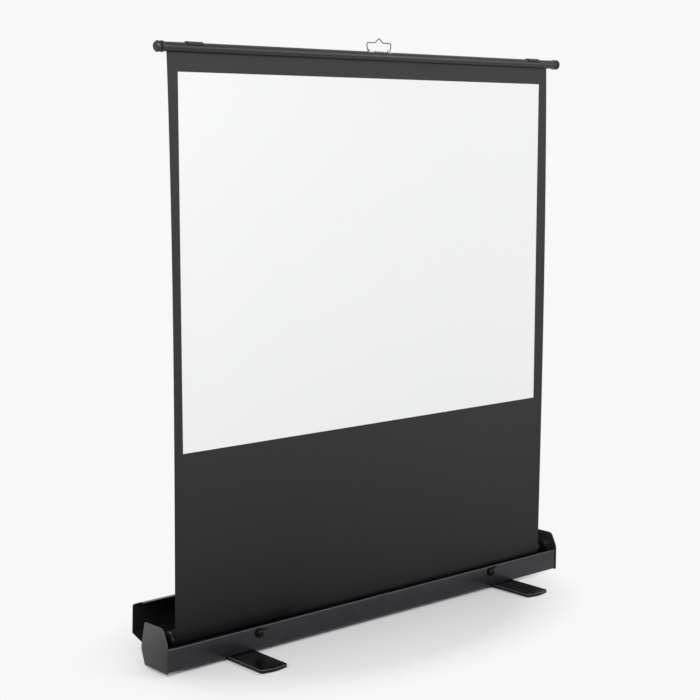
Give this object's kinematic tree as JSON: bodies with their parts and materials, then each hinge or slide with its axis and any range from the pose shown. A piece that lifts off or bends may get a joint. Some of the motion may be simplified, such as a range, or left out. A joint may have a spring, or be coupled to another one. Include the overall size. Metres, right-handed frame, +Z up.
{
  "type": "portable projector screen",
  "caption": "Floor-standing pull-up projection screen: cloth on a spring roller in a long hinged-lid case, held up by a telescopic mast, on swing-out feet.",
  "frame": {"origin": "on the floor under the middle of the case", "axes": "+X along the case to the right as seen from the front, +Y to the back, +Z up"},
  "size_m": [1.8066, 0.4744, 1.9787],
  "materials": {
    "case_black": "satin black powder coat on extruded aluminium",
    "cap_black": "fine-grained black moulding",
    "cloth_black": "matt black backed cloth",
    "screen_white": "matt white projection coating",
    "slat_black": "satin black tube",
    "rubber": "dull black rubber",
    "bright_steel": "bright plated steel",
    "bare_aluminium": "plain anodised aluminium",
    "foot_black": "smooth black coat"
  },
  "bodies": {
    "case": {"case_base": "case_black", "end_cap_left": "cap_black", "end_cap_right": "cap_black", "spring_shaft": "bright_steel", "roller_spring": "bright_steel", "mast_socket": "cap_black", "mast_lower": "bare_aluminium", "mast_collar_lower": "cap_black", "foot_bolt_left": "bright_steel", "foot_bolt_right": "bright_steel", "foot_nut_left": "bright_steel", "foot_nut_right": "bright_steel", "latch_base_left": "cap_black", "latch_base_right": "cap_black", "black_cloth": "cloth_black", "white_surface": "screen_white"},
    "roller": {"roller_tube": "slat_black", "wound_cloth": "cloth_black", "roller_plug_left": "cap_black", "roller_plug_right": "cap_black"},
    "mast_second": {"mast_middle": "bare_aluminium", "mast_collar_upper": "cap_black"},
    "top": {"mast_top": "bare_aluminium", "mast_head": "bare_aluminium", "slat_tube": "slat_black", "slat_knob_left": "cap_black", "slat_knob_right": "cap_black", "slat_buffer_left": "rubber", "slat_buffer_right": "rubber", "bail_bracket_left": "bright_steel", "bail_bracket_right": "bright_steel", "cloth_keder": "rubber"},
    "bail_loop": {"bail": "bright_steel"},
    "lower_lever": {"mast_lever_lower": "foot_black"},
    "upper_lever": {"mast_lever_upper": "foot_black"},
    "thumbscrew": {"socket_screw": "foot_black"},
    "lid_body": {"lid": "case_black", "lid_keeper_left": "foot_black", "lid_keeper_right": "foot_black", "handle_bracket_left": "cap_black", "handle_bracket_right": "cap_black"},
    "handle": {"carry_handle": "foot_black"},
    "left_foot": {"foot_left": "foot_black", "foot_left_pad_front": "rubber", "foot_left_pad_rear": "rubber"},
    "right_foot": {"foot_right": "foot_black", "foot_right_pad_front": "rubber", "foot_right_pad_rear": "rubber"},
    "left_latch": {"latch_lever_left": "foot_black"},
    "right_latch": {"latch_lever_right": "foot_black"}
  },
  "joints": [
    {"name": "mast_extend", "type": "slide", "parent": "case", "child": "mast_second", "axis": [0, 0, 1], "range_m": [-0.575, 0], "deforming": ["black_cloth", "white_surface"]},
    {"name": "mast_top_slide", "type": "slide", "parent": "mast_second", "child": "top", "axis": [0, 0, 1], "range_m": [-0.575, 0]},
    {"name": "roller_spin", "type": "hinge", "parent": "case", "child": "roller", "pos_m": [0, -0.004, 0.098], "axis": [1, 0, 0], "range_deg": [0, 2497]},
    {"name": "lid_hinge", "type": "hinge", "parent": "case", "child": "lid_body", "pos_m": [0, 0.0725, 0.07], "axis": [1, 0, 0], "range_deg": [0, 18]},
    {"name": "handle_fold", "type": "hinge", "parent": "lid_body", "child": "handle", "pos_m": [0, 0.15758, 0.13755], "axis": [1, 0, 0], "range_deg": [0, 100]},
    {"name": "left_foot_swivel", "type": "hinge", "parent": "case", "child": "left_foot", "pos_m": [-0.612, 0, 0.007], "axis": [0, 0, 1], "range_deg": [0, 90]},
    {"name": "right_foot_swivel", "type": "hinge", "parent": "case", "child": "right_foot", "pos_m": [0.612, 0, 0.007], "axis": [0, 0, 1], "range_deg": [-90, 0]},
    {"name": "left_latch_turn", "type": "hinge", "parent": "case", "child": "left_latch", "pos_m": [-0.54, -0.06935, 0.066], "axis": [0, 1, 0], "range_deg": [-86, 30]},
    {"name": "right_latch_turn", "type": "hinge", "parent": "case", "child": "right_latch", "pos_m": [0.54, -0.06935, 0.066], "axis": [0, 1, 0], "range_deg": [-64, 52]},
    {"name": "bail_swing", "type": "hinge", "parent": "top", "child": "bail_loop", "pos_m": [0, -0.0311, 1.9387], "axis": [1, 0, 0], "range_deg": [-85, 85]},
    {"name": "lower_lever_cam", "type": "hinge", "parent": "case", "child": "lower_lever", "pos_m": [0.0225, 0.0319, 0.6656], "axis": [0, 1, 0], "range_deg": [-100, 0]},
    {"name": "upper_lever_cam", "type": "hinge", "parent": "mast_second", "child": "upper_lever", "pos_m": [-0.0208, 0.0319, 1.2756], "axis": [0, 1, 0], "range_deg": [0, 100]},
    {"name": "socket_screw_turn", "type": "hinge", "parent": "case", "child": "thumbscrew", "pos_m": [0.02, 0.0319, 0.0461], "axis": [1, 0, 0], "range_deg": [0, 270]}
  ],
  "couplings": [
    {"joint": "mast_top_slide", "follows": "mast_extend", "ratio": 1},
    {"joint": "roller_spin", "follows": "mast_extend", "rad_per_m": -75.758}
  ]
}
